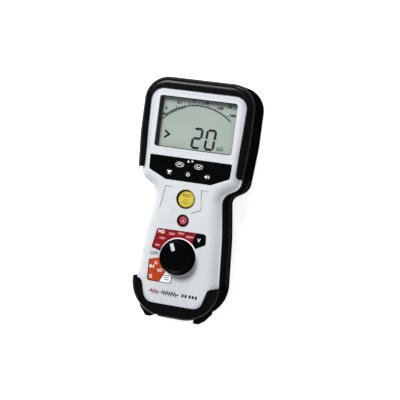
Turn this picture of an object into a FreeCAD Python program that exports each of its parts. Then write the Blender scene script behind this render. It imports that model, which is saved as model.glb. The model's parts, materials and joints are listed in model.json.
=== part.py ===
"""Hand-held insulation resistance tester, as separate pieces in one frame.

The tester lies on its back: X to the right, Y along its length towards the
terminals, Z out of its front face. The origin is at the middle of its base.
"""
import FreeCAD, Part
import math
import os
import Sketcher

# ----------------------------------------------------------------- driving dimensions (mm)
DIMENSIONS = {
    # overall body
    "half_width": 54.0, "half_length": 114.0, "back_plane": 2.5, "front_plane": 53.0,
    "parting": 41.0, "rubber": 3.0, "case_wall": 2.6, "shoulder": 10.0, "rear_round": 9.0,
    # outer outline, right half
    "head_corner": 23.0, "waist_y": 58.0, "hip_x": 50.9, "hip_y": 16.0, "neck_x": 34.9,
    "neck_y": 6.2, "grip_x": 39.9, "grip_y": -31.0, "base_x": 45.6, "base_y": -112.5,
    "base_corner": 33.5,
    # rubber bumpers
    "bumper_top": 54.2, "bumper_round": 6.5, "bumper_foot": 6.0, "lip_x": 47.5, "lip_top": 102.6,
    "lip_end": 26.6, "toe_x": 21.0, "toe_width": 5.5, "band_top": 22.0, "band_round": 2.4,
    # display
    "window_x": 37.8, "window_low": 47.6, "window_high": 95.8, "window_corner": 2.5,
    "lcd_top": 45.0, "lens_top": 52.6, "lens_thick": 1.45,
    # keypad
    "panel_x": 40.1, "panel_top": 39.6, "panel_side": 25.6, "panel_low": 17.7,
    "panel_low_x": 22.0, "panel_thick": 0.8, "key_shift": -0.8, "key_pitch": 18.4,
    "key_row": 24.9, "oval_row": 33.1, "oval_pitch": 18.4, "key_gap": 0.2, "key_proud": 0.5,
    # push buttons
    "test_y": 1.75, "test_radius": 8.2, "lock_y": -18.6, "lock_radius": 5.0,
    "button_gap": 0.25, "ring_wall": 0.5, "rest_depth": 0.9,
    # range switch
    "knob_y": -53.3, "knob_base": 17.2, "knob_top": 15.4, "knob_floor": 53.4, "knob_crown": 63.0,
    "shaft_radius": 3.0, "running_gap": 0.05, "pointer_angle": 22.5,
    # boards
    "board_low": 33.0, "board_thick": 1.6,
    # terminals
    "socket_pitch": 19.0, "socket_height": 25.0, "socket_radius": 7.5, "contact_radius": 2.0,
    "contact_wall": 0.6, "contact_mouth": 111.0, "contact_length": 17.0,
    # battery bay
    "cell_radius": 7.2, "cell_length": 50.5, "bay_x": 30.2, "bay_low": -95.0, "bay_high": -20.0,
    "bay_top": 20.5, "cover_gap": 0.15, "tongue_high": -10.6, "tongue_thick": 1.8,
    # stand
    "stand_y": 87.0, "stand_z": 6.0, "stand_x": 24.0, "stand_end": 24.0, "pin_radius": 1.5,
    # fasteners and feet
    "screw_radius": 1.5, "head_radius": 2.8, "head_gap": 0.3, "post_radius": 3.2,
    "foot_radius": 3.7, "cover_head_low": 1.9,
}

doc = FreeCAD.newDocument("tester")
sheet = doc.addObject("Spreadsheet::Sheet", "dims")
pieces = []


class Size:
    """A length that knows its value and the sheet formula that drives it."""

    def __init__(self, value, text):
        self.value = value
        self.text = text

    def __add__(self, other):
        other = sized(other)
        return Size(self.value + other.value, f"({self.text} + {other.text})")

    def __sub__(self, other):
        other = sized(other)
        return Size(self.value - other.value, f"({self.text} - {other.text})")

    def __mul__(self, number):
        return Size(self.value * number, f"({self.text} * {number!r})")

    def __truediv__(self, number):
        return Size(self.value / number, f"({self.text} / {number!r})")

    def __neg__(self):
        return self * -1.0

    def __radd__(self, other):
        return sized(other) + self

    def __rsub__(self, other):
        return sized(other) - self

    __rmul__ = __mul__


def sized(number):
    """A plain number as a Size; a Size stays as it is."""
    if isinstance(number, Size):
        return number
    return Size(float(number), f"({float(number)!r})")


class Dims:
    """The sheet's cells, read by their aliases."""


def fill_sheet():
    """Write one row per driving dimension, and give each value cell its alias."""
    for row, (alias, value) in enumerate(DIMENSIONS.items(), start=1):
        sheet.set(f"A{row}", alias)
        sheet.set(f"B{row}", str(value))
        sheet.setAlias(f"B{row}", alias)
        setattr(Dims, alias, Size(float(value), f"dims.{alias}"))


def bind(thing, prop, size):
    """Drive one property of a document object from the sheet."""
    thing.setExpression(prop, sized(size).text)


def place(thing, x, y, z):
    """Drive an object's place from the sheet."""
    for name, size in zip("xyz", (x, y, z)):
        bind(thing, f"Placement.Base.{name}", size)


# ----------------------------------------------------------------- outlines
def tangent_points(corners):
    """For each corner, the two points where its arc meets its sides, and the arc's middle."""
    found = []
    count = len(corners)
    for i, (x, y, radius) in enumerate(corners):
        here = FreeCAD.Vector(x.value, y.value, 0)
        back = FreeCAD.Vector(corners[i - 1][0].value, corners[i - 1][1].value, 0) - here
        ahead = FreeCAD.Vector(corners[(i + 1) % count][0].value, corners[(i + 1) % count][1].value, 0) - here
        back.normalize()
        ahead.normalize()
        half = back.getAngle(ahead) / 2
        reach = radius.value / math.tan(half)
        middle = back + ahead
        if radius.value > 0:
            middle.normalize()
            middle = middle * (radius.value / math.sin(half) - radius.value)
        found.append((here, here + back * reach, here + middle, here + ahead * reach))
    return found


def runs_counterclockwise(first, middle, last):
    """Whether three points of an arc run counter-clockwise."""
    return (middle - first).cross(last - middle).z > 0


def draw_outline(sketch, corners):
    """Draw a closed outline of straight sides whose corners (x, y, radius) may be rounded."""
    corners = [tuple(sized(size) for size in corner) for corner in corners]
    points = tangent_points(corners)
    count = len(corners)
    sides = [Part.LineSegment(points[i][3], points[(i + 1) % count][1]) for i in range(count)]
    sides = sketch.addGeometry(sides, False)
    rules = []
    driven = []

    def rule(*words, size=None):
        if size is not None:
            driven.append((len(rules), size))
            words = (*words, size.value)
        rules.append(Sketcher.Constraint(*words))

    for i, (x, y, radius) in enumerate(corners):
        before, after = sides[i - 1], sides[i]
        if radius.value == 0:
            rule("Coincident", before, 2, after, 1)
            rule("DistanceX", -1, 1, after, 1, size=x)
            rule("DistanceY", -1, 1, after, 1, size=y)
            continue
        corner, first, middle, last = points[i]
        forward = runs_counterclockwise(first, middle, last)
        ends = (first, last) if forward else (last, first)
        arc = sketch.addGeometry(Part.Arc(ends[0], middle, ends[1]), False)
        mark = sketch.addGeometry(Part.Point(corner), True)
        rule("DistanceX", -1, 1, mark, 1, size=x)
        rule("DistanceY", -1, 1, mark, 1, size=y)
        rule("PointOnObject", mark, 1, before)
        rule("PointOnObject", mark, 1, after)
        rule("Tangent", before, 2, arc, 1 if forward else 2)
        rule("Tangent", arc, 2 if forward else 1, after, 1)
        rule("Radius", arc, size=radius)
    sketch.addConstraint(rules)
    for number, size in driven:
        sketch.setExpression(f"Constraints[{number}]", size.text)


def mirrored(half):
    """A whole outline from its right half, which is listed from its top to its bottom."""
    return list(half) + [(-sized(x), y, radius) for x, y, radius in reversed(half)]


def flat_sketch(name, corners):
    """An outline that lies level at the base of the tester."""
    sketch = doc.addObject("Sketcher::SketchObject", name)
    draw_outline(sketch, corners)
    return sketch


def rectangle(x0, x1, y0, y1, radius=0):
    """The corners of an upright rectangle with equal corner radii."""
    return [(x0, y1, radius), (x1, y1, radius), (x1, y0, radius), (x0, y0, radius)]


# ----------------------------------------------------------------- solids
def prism(name, outline, low, high):
    """A solid with a level outline, between two heights."""
    solid = doc.addObject("Part::Extrusion", name)
    solid.Base = outline
    solid.DirMode = "Custom"
    solid.Dir = FreeCAD.Vector(0, 0, 1)
    solid.Solid = True
    bind(solid, "LengthFwd", high)
    bind(solid, "LengthRev", -sized(low))
    return solid


def slab(name, corners, low, high):
    """A prism between two heights from a list of corners."""
    return prism(name, flat_sketch(name + "_outline", corners), low, high)


def inset(name, outline, distance):
    """The same level outline, moved inwards all round."""
    smaller = doc.addObject("Part::Offset2D", name)
    smaller.Source = outline
    bind(smaller, "Value", -sized(distance))
    return smaller


def block(name, x0, x1, y0, y1, z0, z1):
    """A box between six planes."""
    solid = doc.addObject("Part::Box", name)
    bind(solid, "Length", sized(x1) - x0)
    bind(solid, "Width", sized(y1) - y0)
    bind(solid, "Height", sized(z1) - z0)
    place(solid, x0, y0, z0)
    return solid


TURNS = {
    "X": FreeCAD.Rotation(FreeCAD.Vector(0, 1, 0), 90),
    "Y": FreeCAD.Rotation(FreeCAD.Vector(1, 0, 0), -90),
    "Z": FreeCAD.Rotation(),
}


def rod(name, start, length, radius, axis="Z"):
    """A cylinder from a start point along one axis."""
    solid = doc.addObject("Part::Cylinder", name)
    bind(solid, "Radius", radius)
    bind(solid, "Height", length)
    solid.Placement.Rotation = TURNS[axis]
    place(solid, *start)
    return solid


def tube(name, start, length, outer, inner, axis="Z"):
    """A cylinder with a hole right through it."""
    hole = rod(name + "_hole", start, length, inner, axis)
    return cut(name, rod(name + "_wall", start, length, outer, axis), hole)


def fuse(name, *solids):
    """Several solids joined into one shape."""
    joined = doc.addObject("Part::MultiFuse", name)
    joined.Shapes = list(solids)
    joined.Refine = True
    return joined


def group(name, *solids):
    """Several separate solids kept side by side in one shape."""
    gathered = doc.addObject("Part::Compound", name)
    gathered.Links = list(solids)
    return gathered


def cut(name, base, *tools):
    """A solid with other solids taken out of it."""
    result = doc.addObject("Part::Cut", name)
    result.Base = base
    result.Tool = tools[0] if len(tools) == 1 else group(name + "_tools", *tools)
    return result


def common(name, *solids):
    """What several solids share."""
    result = doc.addObject("Part::MultiCommon", name)
    result.Shapes = list(solids)
    return result


def rounded(name, base, radius, chosen):
    """Round every edge that the test picks out."""
    doc.recompute()
    result = doc.addObject("Part::Fillet", name)
    result.Base = base
    size = sized(radius).value
    edges = enumerate(base.Shape.Edges, start=1)
    result.Edges = [(number, size, size) for number, edge in edges if chosen(edge)]
    return result


def level_at(height):
    """A test for edges that lie level at one height."""
    z = sized(height).value

    def test(edge):
        return abs(edge.BoundBox.ZMin - z) < 1e-4 and abs(edge.BoundBox.ZMax - z) < 1e-4
    return test


def upright(edge):
    """A test for edges that run along Z."""
    box = edge.BoundBox
    return box.XLength < 1e-4 and box.YLength < 1e-4 and box.ZLength > 0.1


def lengthwise(edge):
    """A test for edges that run along Y."""
    box = edge.BoundBox
    return box.XLength < 1e-4 and box.ZLength < 1e-4 and box.YLength > 0.1


def piece(node, solid):
    """Name a finished piece. Its label is its file's name."""
    solid.Label = node
    pieces.append(solid)
    return solid


# ----------------------------------------------------------------- bodies with features
def origin_plane(body, role):
    """One of a body's own origin planes."""
    return next(item for item in body.Origin.OriginFeatures if item.Role == role)


def turned(node, profile, x, y):
    """A body turned about its own upright axis from a half profile of (radius, height) corners."""
    body = doc.addObject("PartDesign::Body", node + "_body")
    sketch = body.newObject("Sketcher::SketchObject", node + "_profile")
    sketch.AttachmentSupport = (origin_plane(body, "XZ_Plane"), [""])
    sketch.MapMode = "FlatFace"
    draw_outline(sketch, profile)
    turn = body.newObject("PartDesign::Revolution", node + "_turn")
    turn.Profile = sketch
    turn.ReferenceAxis = (sketch, ["V_Axis"])
    turn.Angle = 360.0
    place(body, x, y, 0)
    return body


def padded(node, corners, low, high):
    """A body padded up from a level outline on its own base plane."""
    body = doc.addObject("PartDesign::Body", node + "_body")
    sketch = body.newObject("Sketcher::SketchObject", node + "_outline")
    sketch.AttachmentSupport = (origin_plane(body, "XY_Plane"), [""])
    sketch.MapMode = "FlatFace"
    draw_outline(sketch, corners)
    pad = body.newObject("PartDesign::Pad", node + "_pad")
    pad.Profile = sketch
    bind(pad, "Length", sized(high) - low)
    place(body, 0, 0, low)
    return body


fill_sheet()
D = Dims
FRONT = D.front_plane
BOARD_TOP = D.board_low + D.board_thick
SWITCH_TOP = BOARD_TOP + 3.8
CAP_LOW = FRONT - 3.4
KEY_TRAVEL = 0.6
FREE_PLAY = 0.2
FAR = 130.0


# ----------------------------------------------------------------- housing outlines
def outer_corners():
    """The tester's plan outline at its widest, rubber included."""
    return mirrored([
        (D.half_width, D.half_length, D.head_corner),
        (D.half_width, D.waist_y, 150),
        (D.hip_x, D.hip_y, 13.5),
        (D.neck_x, D.neck_y, 8),
        (D.grip_x, D.grip_y, 250),
        (D.base_x, D.base_y, D.base_corner),
    ])


def outside_head_bumper():
    """All the plan that the head bumper leaves free: inside its lip, and below its ends."""
    return mirrored([
        (D.lip_x, D.lip_top, 12),
        (D.lip_x - 2.3, 45, 60),
        (D.lip_x - 2.4, D.lip_end, 4),
        (62, D.lip_end - 1.0, 0),
        (62, -FAR, 0),
    ])


def outside_base_bumper():
    """All the plan that the base bumper leaves free."""
    return mirrored([
        (62, FAR, 0),
        (62, -75.2, 0),
        (32.8, -79.0, 5),
        (27.4, -99.4, 9),
    ])


def between_bumpers():
    """The part of the plan where the rear shell is bare, from one bumper to the other."""
    return mirrored([
        (D.lip_x - 2.4, D.lip_end, 0),
        (62, D.lip_end - 1.0, 0),
        (62, -75.2, 0),
        (32.8, -79.0, 0),
    ])


outer_outline = flat_sketch("outer_outline", outer_corners())


def core_prism(name, wall, low, high):
    """The housing's outline without its rubber, moved in by a wall, between two heights."""
    return prism(name, inset(name + "_inset", outer_outline, D.rubber + wall), low, high)


def rubber_prism(name, top, top_round):
    """The housing's whole outline up to a top height, with its front and rear edges rounded."""
    solid = prism(name + "_blank", outer_outline, D.back_plane, top)
    solid = rounded(name + "_rear", solid, D.rear_round, level_at(D.back_plane))
    return rounded(name, solid, top_round, level_at(top))


def front_blank(name):
    """The front shell's outer form, with its broad rounded shoulders."""
    solid = core_prism(name + "_square", 0, D.parting, FRONT)
    return rounded(name, solid, D.shoulder, level_at(FRONT))


def bumper(node, free_plan):
    """A rubber bumper: the outer form, less the plan that it leaves free and the case inside it."""
    outer = rubber_prism(node + "_outer", D.bumper_top, D.bumper_round)
    free = slab(node + "_free", free_plan, 0, 60)
    rear = core_prism(node + "_case", 0, 0, D.parting)
    rear = rounded(node + "_case_rear", rear, D.rear_round - D.rubber, level_at(0))
    below = block(node + "_below", -60, 60, -FAR, FAR, -1, D.bumper_foot)
    return cut(node + "_ring", outer, free, rear, front_blank(node + "_front"), below)


# ----------------------------------------------------------------- screw posts
COUNTERBORE_TOP = 8.0


def case_screw_places():
    """Where the five case screws stand: two in the head, two in the neck, one in the base."""
    return [(43.9, 90), (-43.9, 90), (26.5, -2), (-26.5, -2), (0, -103.8)]


def cover_screw_places():
    """The battery cover's two screws."""
    return [(20, -14.6), (-20, -14.6)]


# ----------------------------------------------------------------- housing pieces
def make_front_case():
    """The light front shell with its window, panel recess, button holes and shaft hole."""
    cavity = core_prism("front_cavity_square", D.case_wall, D.parting - 1, FRONT - 2.6)
    cavity = rounded("front_cavity", cavity, D.shoulder - D.case_wall, level_at(FRONT - 2.6))
    shell = cut("front_shell", front_blank("front_form"), cavity)
    posts = [rod(f"front_post_{i}", (x, y, D.parting), 8, D.post_radius)
             for i, (x, y) in enumerate(case_screw_places())]
    window = slab("window", rectangle(-D.window_x, D.window_x, D.window_low, D.window_high,
                                      D.window_corner), D.parting, 60)
    recess = slab("panel_recess", panel_corners(0), FRONT - D.panel_thick, 60)
    holes = [rod(f"front_screw_{i}", (x, y, D.parting - 1), 8, D.screw_radius + 0.05)
             for i, (x, y) in enumerate(case_screw_places())]
    test_hole = D.test_radius + D.button_gap + D.ring_wall
    lock_hole = D.lock_radius + D.button_gap + D.ring_wall
    openings = [window, recess, *holes,
                rod("test_hole", (0, D.test_y, D.parting), 20, test_hole),
                rod("lock_hole", (0, D.lock_y, D.parting), 20, lock_hole),
                rod("shaft_hole", (0, D.knob_y, D.parting), 20, D.shaft_radius + 1.5)]
    for number, (x, y, width, height) in enumerate(key_places()):
        openings.append(slab(f"key_hole_{number}", key_corners(x, y, width, height, D.key_gap),
                             D.parting, 60))
    openings += thumb_rests()
    piece("front_case", cut("front_case_body", fuse("front_with_posts", shell, *posts), *openings))


def thumb_rests():
    """The two shallow rests, one on each side of the test button."""
    rests = []
    for side, name in ((1, "right"), (-1, "left")):
        corners = [(13.6, 12.0, 0), (21.4, 12.0, 1), (24.6, -10.8, 1), (6.5, -10.8, 0),
                   (15.9, -6.5, 3)]
        corners = [(side * x, y, radius) for x, y, radius in corners]
        rests.append(slab(f"thumb_rest_{name}", corners[::side], FRONT - D.rest_depth, 60))
    return rests


def make_rear_case():
    """The black rear shell: its lower band stands out between the bumpers, level with them."""
    core = core_prism("rear_core_square", 0, D.back_plane, D.parting)
    core = rounded("rear_core", core, D.rear_round - D.rubber, level_at(D.back_plane))
    middle = common("rear_middle", rubber_prism("rear_outer", D.band_top, D.band_round),
                    slab("rear_bare_plan", between_bumpers(), D.back_plane + 0.9, 60))
    form = cut("rear_form", fuse("rear_solid", core, middle), front_blank("rear_front"))
    cavity = core_prism("rear_cavity_square", D.case_wall, D.back_plane + D.case_wall, 45)
    cavity = rounded("rear_cavity", cavity, 1.5, level_at(D.back_plane + D.case_wall))
    floor = D.back_plane + D.case_wall
    posts = [rod(f"rear_post_{i}", (x, y, 4), D.parting - 4, 4)
             for i, (x, y) in enumerate(case_screw_places())]
    posts += [rod(f"cover_post_{i}", (x, y, floor - 1), 8, 3.4)
              for i, (x, y) in enumerate(cover_screw_places())]
    pan = block("stand_pan", -28.5, 28.5, 19.5, 94.5, 4, 8.4)
    hinge_box = block("stand_hinge_box", -30.5, 30.5, 80.5, 94.5, 4, 11.8)
    shell = fuse("rear_with_posts", cut("rear_shell", form, cavity), *posts, pan, hinge_box)
    piece("rear_case", cut("rear_case_body", shell, *rear_openings()))


def rear_openings():
    """Everything cut through the rear shell."""
    tools = []
    for i, (x, y) in enumerate(case_screw_places()):
        tools.append(rod(f"rear_screw_{i}", (x, y, 0), 50, D.screw_radius + 0.05))
        tools.append(rod(f"rear_counterbore_{i}", (x, y, 0), COUNTERBORE_TOP,
                         D.head_radius + D.head_gap))
    for i, (x, y) in enumerate(cover_screw_places()):
        tools.append(rod(f"cover_pilot_{i}", (x, y, 0), 11, D.screw_radius + 0.05))
    tools.append(slab("bay_opening", rectangle(-D.bay_x, D.bay_x, D.bay_low, D.bay_high, 3), 0, 8))
    tools.append(slab("tongue_rebate", rectangle(-28, 28, D.bay_high - 4, D.tongue_high, 3),
                      0, D.back_plane + D.tongue_thick))
    tools.append(block("stand_recess", -26, 26, 21, 91.4, 0, 6.2))
    tools.append(block("hinge_recess", -26, 26, 83, 91.4, 0, 9.8))
    tools.append(rod("stand_pin_hole", (-28.5, D.stand_y, D.stand_z), 57, D.pin_radius, "X"))
    for i, (x, y) in enumerate(foot_places()):
        tools.append(rod(f"foot_recess_{i}", (x, y, 0), D.back_plane + 0.8, D.foot_radius))
    slot = block("terminal_slot_square", -30, 30, 95, FAR, 14, 36)
    tools.append(rounded("terminal_slot", slot, 4, lengthwise))
    return tools


def make_bumpers():
    """The rubber bumpers round the head and the base."""
    slot = rounded("bumper_slot", block("bumper_slot_square", -30, 30, 95, FAR, 14, 36), 4, lengthwise)
    head = bumper("head", outside_head_bumper())
    piece("head_bumper", cut("head_bumper_body", head, slot))
    toes = []
    near, far, end = D.toe_x, D.toe_x + D.toe_width, -D.half_length
    flank = [(near, -102.0, 0), (33.0, -102.0, 0), (33.4, -105.6, 0.5), (far, end, 0.8),
             (near, end, 0.8)]
    for side, name in ((1, "right"), (-1, "left")):
        corners = [(sized(x) * side, y, radius) for x, y, radius in flank]
        toes.append(slab(f"toe_{name}", corners[::side], 24, 46))
    case = core_prism("toe_case", 0, 0, 60)
    toes = cut("toes", group("toe_pair", *toes), case)
    notch = block("strap_notch", -20.4, -13, -120, -110.5, 0, 60)
    base = cut("base_notched", bumper("base", outside_base_bumper()), notch)
    piece("base_bumper", fuse("base_bumper_body", base, toes))


def make_seal():
    """The seal that lies inside the joint of the two shells."""
    low = D.parting - 1.6
    outer = core_prism("seal_outer", D.case_wall, low, D.parting - 0.1)
    inner = core_prism("seal_inner", D.case_wall + 1.1, low - 1, D.parting + 1)
    posts = [rod(f"seal_gap_{i}", (x, y, low - 1), 5, 4)
             for i, (x, y) in enumerate(case_screw_places())]
    piece("case_seal", cut("case_seal_body", outer, inner, *posts))


def foot_places():
    """The four rubber feet on the back."""
    return [(38, 96.5), (-38, 96.5), (18, -99.3), (-18, -99.3)]


def make_feet():
    """The four feet that the tester lies on."""
    feet = [rod(f"foot_{i}", (x, y, 0), D.back_plane + 0.8, D.foot_radius)
            for i, (x, y) in enumerate(foot_places())]
    piece("rubber_feet", group("rubber_feet_body", *feet))


HEAD_TALL = 1.6


def pan_head_screw(name, x, y, head_low, tip):
    """A pan-head screw that points into the case, with a cross slot in its head."""
    head_top = head_low + HEAD_TALL
    head = rod(name + "_head", (x, y, head_low), HEAD_TALL, D.head_radius)
    shank = rod(name + "_shank", (x, y, head_top), sized(tip) - head_top, D.screw_radius)
    slots = [block(f"{name}_slot_{i}", x - a, x + a, y - b, y + b, head_low - 1, head_low + 0.9)
             for i, (a, b) in enumerate(((1.7, 0.35), (0.35, 1.7)))]
    return cut(name, fuse(name + "_solid", head, shank), *slots)


def make_screws():
    """The case screws and the battery cover's screws."""
    case = [pan_head_screw(f"case_screw_{i}", x, y, COUNTERBORE_TOP - HEAD_TALL, 47.5)
            for i, (x, y) in enumerate(case_screw_places())]
    piece("case_screws", group("case_screws_body", *case))
    cover = [pan_head_screw(f"cover_screw_{i}", x, y, D.cover_head_low, 10)
             for i, (x, y) in enumerate(cover_screw_places())]
    piece("battery_cover_screws", group("cover_screws_body", *cover))


# ----------------------------------------------------------------- display
def make_display():
    """Lens, black surround, liquid-crystal cell, backlight, contact strips and display board."""
    x, low, high = D.window_x, D.window_low, D.window_high
    lens_low = D.lens_top - D.lens_thick
    piece("display_lens", padded("lens", rectangle(
        0.15 - x, x - 0.15, low + 0.15, high - 0.15, D.window_corner - 0.15), lens_low, D.lens_top))
    rim = slab("surround_rim", rectangle(0.1 - x, x - 0.1, low + 0.1, high - 0.1,
                                         D.window_corner - 0.1), D.lcd_top, lens_low)
    frame = slab("surround_frame", rectangle(-40.6, 40.6, 43.2, 100.2, 2), D.lcd_top, FRONT - 2.65)
    sight = slab("surround_sight", rectangle(0.7 - x, x - 0.7, low + 0.7, high - 0.7, 1.8), 40, 60)
    piece("lcd_surround", cut("lcd_surround_body", fuse("surround_solid", rim, frame), sight))
    piece("lcd_cell", padded("lcd", rectangle(-39.6, 39.6, 43.4, 99.8, 0.5), D.lcd_top - 2.4,
                             D.lcd_top))
    piece("lcd_backlight", padded("backlight", rectangle(-38, 38, 47.4, 96, 1), D.lcd_top - 4.6,
                                  D.lcd_top - 2.4))
    strips = [block(f"contact_strip_{i}", -36, 36, y, y + 2.2, D.lcd_top - 5.8, D.lcd_top - 2.4)
              for i, y in enumerate((44.4, 97))]
    piece("lcd_contact_strips", group("contact_strips_body", *strips))
    piece("display_board", padded("display_board", rectangle(-39.7, 39.7, 42.6, 100.4, 1.5),
                                  D.lcd_top - 7.4, D.lcd_top - 5.8))
    piece("board_header", group("board_header_body", *[
        block(f"header_{i}", a, a + 20, 70, 75, BOARD_TOP, D.lcd_top - 7.4)
        for i, a in enumerate((-34, 14))]))


# ----------------------------------------------------------------- keypad and push buttons
def panel_corners(gap):
    """The keypad panel's outline, moved in by a gap."""
    return mirrored([
        (D.panel_x - gap, D.panel_top - gap, 1.2),
        (D.panel_x - 0.6 - gap, D.panel_side, 2.5),
        (D.panel_low_x, D.panel_low + gap, 2.5),
    ])


def key_places():
    """The five keys: two ovals in the upper row and three small ones below (x, y, width, height)."""
    half = D.oval_pitch / 2
    return [
        (D.key_shift - half, D.oval_row, 11.0, 6.4),
        (D.key_shift + half, D.oval_row, 11.0, 6.4),
        (D.key_shift - D.key_pitch, D.key_row, 7.6, 6.0),
        (D.key_shift, D.key_row, 7.6, 6.0),
        (D.key_shift + D.key_pitch, D.key_row, 7.6, 6.0),
    ]


KEY_NAMES = ["range_up_key", "range_down_key", "lamp_key", "hold_key", "buzzer_key"]


def key_corners(x, y, width, height, gap):
    """A key's rounded outline, grown by a gap."""
    half_x = sized(width / 2) + gap
    half_y = sized(height / 2) + gap
    return rectangle(x - half_x, x + half_x, y - half_y, y + half_y, half_y - 0.3)


def make_keypad():
    """The black panel and its five keys, each with a stem that reaches down to its switch."""
    panel = slab("keypad_panel_plate", panel_corners(0.05), FRONT - D.panel_thick, FRONT)
    holes = [slab(f"panel_hole_{i}", key_corners(*place_of, D.key_gap), 50, 60)
             for i, place_of in enumerate(key_places())]
    piece("keypad_panel", cut("keypad_panel_body", panel, *holes))
    for name, (x, y, width, height) in zip(KEY_NAMES, key_places()):
        cap = slab(name + "_cap", key_corners(x, y, width, height, 0), CAP_LOW,
                   FRONT + D.key_proud)
        cap = rounded(name + "_soft_cap", cap, 0.35, level_at(FRONT + D.key_proud))
        flange_low = CAP_LOW - 1
        flange = slab(name + "_flange", key_corners(x, y, width, height, 0.8), flange_low, CAP_LOW)
        stem_low = SWITCH_TOP + KEY_TRAVEL + FREE_PLAY
        stem = rod(name + "_stem", (x, y, stem_low), flange_low - stem_low, 2)
        piece(name, fuse(name + "_body", cap, flange, stem))


def make_button(node, y, radius, top, travel):
    """A round push button in its ring, with a flange that holds it in and a stem above its switch."""
    inner = radius + D.button_gap
    ring = tube(node + "_ring_body", (0, y, CAP_LOW), 3.9, inner + D.ring_wall, inner)
    piece(node + "_ring", ring)
    stem_low = SWITCH_TOP + travel + FREE_PLAY
    flange = radius + 1.6
    flange_low = FRONT - 5.5
    flange_top = flange_low + 1.1
    piece(node, turned(node, [
        (0, top, 0), (radius, top - 0.35, 1.2), (radius, flange_top, 0), (flange, flange_top, 0),
        (flange, flange_low, 0), (2.5, flange_low, 0), (2.5, stem_low, 0), (0, stem_low, 0)], 0, y))


def make_switches():
    """The small switches on the main board, one beneath each key and button."""
    places = [(x, y) for x, y, width, height in key_places()]
    places += [(sized(0), D.test_y), (sized(0), D.lock_y)]
    switches = []
    for i, (x, y) in enumerate(places):
        base_top = BOARD_TOP + 2.2
        base = block(f"switch_case_{i}", x - 3, x + 3, y - 3, y + 3, BOARD_TOP, base_top)
        plunger = rod(f"switch_plunger_{i}", (x, y, base_top), 0.8, SWITCH_TOP - base_top)
        switches.append(fuse(f"switch_{i}", base, plunger))
    piece("key_switches", group("key_switches_body", *switches))


# ----------------------------------------------------------------- range switch
def make_range_switch():
    """Knob, pointer, shaft, rotor and switch housing, all on the knob's axis."""
    shaft = D.shaft_radius
    knob = turned("range_knob", [
        (0, D.knob_crown - 0.5, 0), (D.knob_top - 3.0, D.knob_crown - 0.5, 1.5),
        (D.knob_top - 1.2, D.knob_crown, 1.5), (D.knob_top, D.knob_crown, 0.9),
        (D.knob_base, D.knob_floor + 2.0, 2.5), (D.knob_base, D.knob_floor, 0.3),
        (shaft, D.knob_floor, 0), (shaft, 60, 0), (0, 60, 0)], 0, D.knob_y)
    mark = pointer_bar("pointer_seat")
    piece("range_knob", cut("range_knob_body_cut", knob, mark))
    piece("knob_pointer", pointer_bar("knob_pointer_bar"))
    flat = block("shaft_flat", shaft - 0.7, shaft + 1, D.knob_y - 4, D.knob_y + 4, 54.5, 61)
    rod_low = BOARD_TOP + 0.4
    piece("knob_shaft", cut("knob_shaft_body", rod(
        "shaft_round", (0, D.knob_y, rod_low), 59.9 - rod_low, shaft), flat))
    housing_top = BOARD_TOP + 10
    housing = slab("switch_housing_box", rectangle(-13, 13, D.knob_y - 13, D.knob_y + 13, 2),
                   BOARD_TOP, housing_top)
    room = rod("rotor_room", (0, D.knob_y, BOARD_TOP + 1.5), 7, 10.5)
    bore = rod("shaft_bore", (0, D.knob_y, BOARD_TOP + 0.2), 20, shaft + D.running_gap)
    piece("switch_housing", cut("switch_housing_body", housing, room, bore))
    rotor_low = BOARD_TOP + 2.0
    piece("switch_rotor", tube("switch_rotor_body", (0, D.knob_y, rotor_low), 5.5, 10, shaft))


def pointer_bar(name):
    """The pale bar let into the knob's top, turned to the range that the knob rests at."""
    outline = flat_sketch(name + "_outline", rectangle(-1.8, 1.8, 6.6, 14.6, 0.8))
    outline.Placement.Rotation = FreeCAD.Rotation(FreeCAD.Vector(0, 0, 1), D.pointer_angle.value)
    bind(outline, "Placement.Base.y", D.knob_y)
    return prism(name, outline, D.knob_crown - 2.0, D.knob_crown - 0.1)


def make_range_label():
    """The thin label round the knob: an upper zone, and a lower one on the left."""
    thick = 0.15
    upper = [(-23.5, -28.9, 2.2), (24.4, -28.2, 3.2), (24.9, -38.3, 2), (8, -47.3, 0),
             (-8, -52.4, 0), (-27, -47.6, 1)]
    lower = [(-27.9, -59.1, 1), (-10, -54.8, 0), (-3, -60, 0), (-3, -71, 0), (-3.8, -79.3, 2),
             (-27.6, -79.3, 2.5)]
    knob_room = rod("label_room", (0, D.knob_y, 50), 10, D.knob_base + 1.2)
    zones = group("label_zones", slab("label_upper", upper, FRONT, FRONT + thick),
                  slab("label_lower", lower, FRONT, FRONT + thick))
    piece("range_label", cut("range_label_body", zones, knob_room))


# ----------------------------------------------------------------- electronics
def make_main_board():
    """The main board, which follows the case's outline, with gaps for posts and terminals."""
    plate = core_prism("board_plate", 6, D.board_low, BOARD_TOP)
    gaps = [rod(f"board_gap_{i}", (x, y, 20), 20, 4.6) for i, (x, y) in enumerate(case_screw_places())]
    gaps.append(block("board_terminal_gap", -31.5, 31.5, 86.5, FAR, 20, 40))
    piece("main_board", cut("main_board_body", plate, *gaps))
    pillars = [tube(f"pillar_{i}", (x, y, D.back_plane + D.case_wall),
                    D.board_low - D.back_plane - D.case_wall, 3, 1.2)
               for i, (x, y) in enumerate(((41, 66), (-41, 66), (34, 34), (-34, 34)))]
    piece("board_pillars", group("board_pillars_body", *pillars))


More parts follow.
